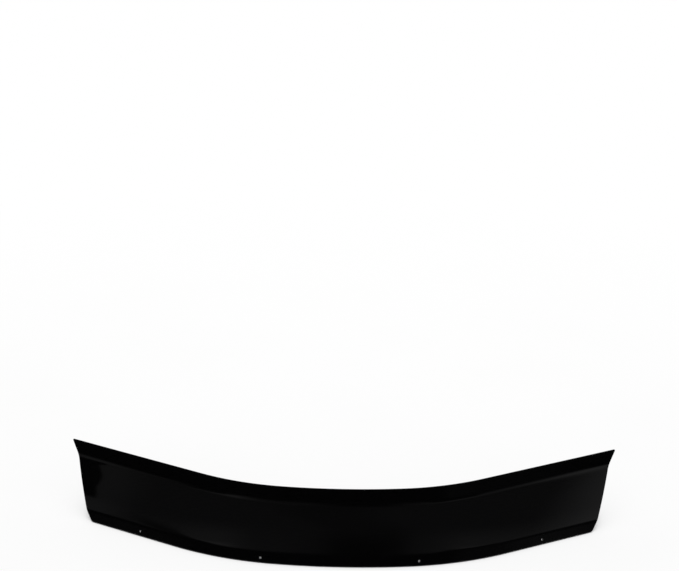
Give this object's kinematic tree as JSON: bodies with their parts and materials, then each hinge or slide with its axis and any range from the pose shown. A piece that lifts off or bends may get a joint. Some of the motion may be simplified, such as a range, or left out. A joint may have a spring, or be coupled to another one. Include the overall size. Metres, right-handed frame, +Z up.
{
  "type": "hood bug deflector",
  "caption": "Swept gloss black shield for the front edge of a hood: a drilled fixing band, a crowned face that leans back and an upturned lip.",
  "frame": {"origin": "middle of the part's overall length and depth, in the plane that its lower edge stands on", "axes": "+X to the right along the length as seen from in front, the convex front faces -Y, +Z up from the lower edge to the lip"},
  "size_m": [1.056, 0.2836, 0.1086],
  "materials": {
    "black_acrylic": "polished gloss"
  },
  "bodies": {
    "root": {"deflector_shield": "black_acrylic"}
  },
  "joints": []
}
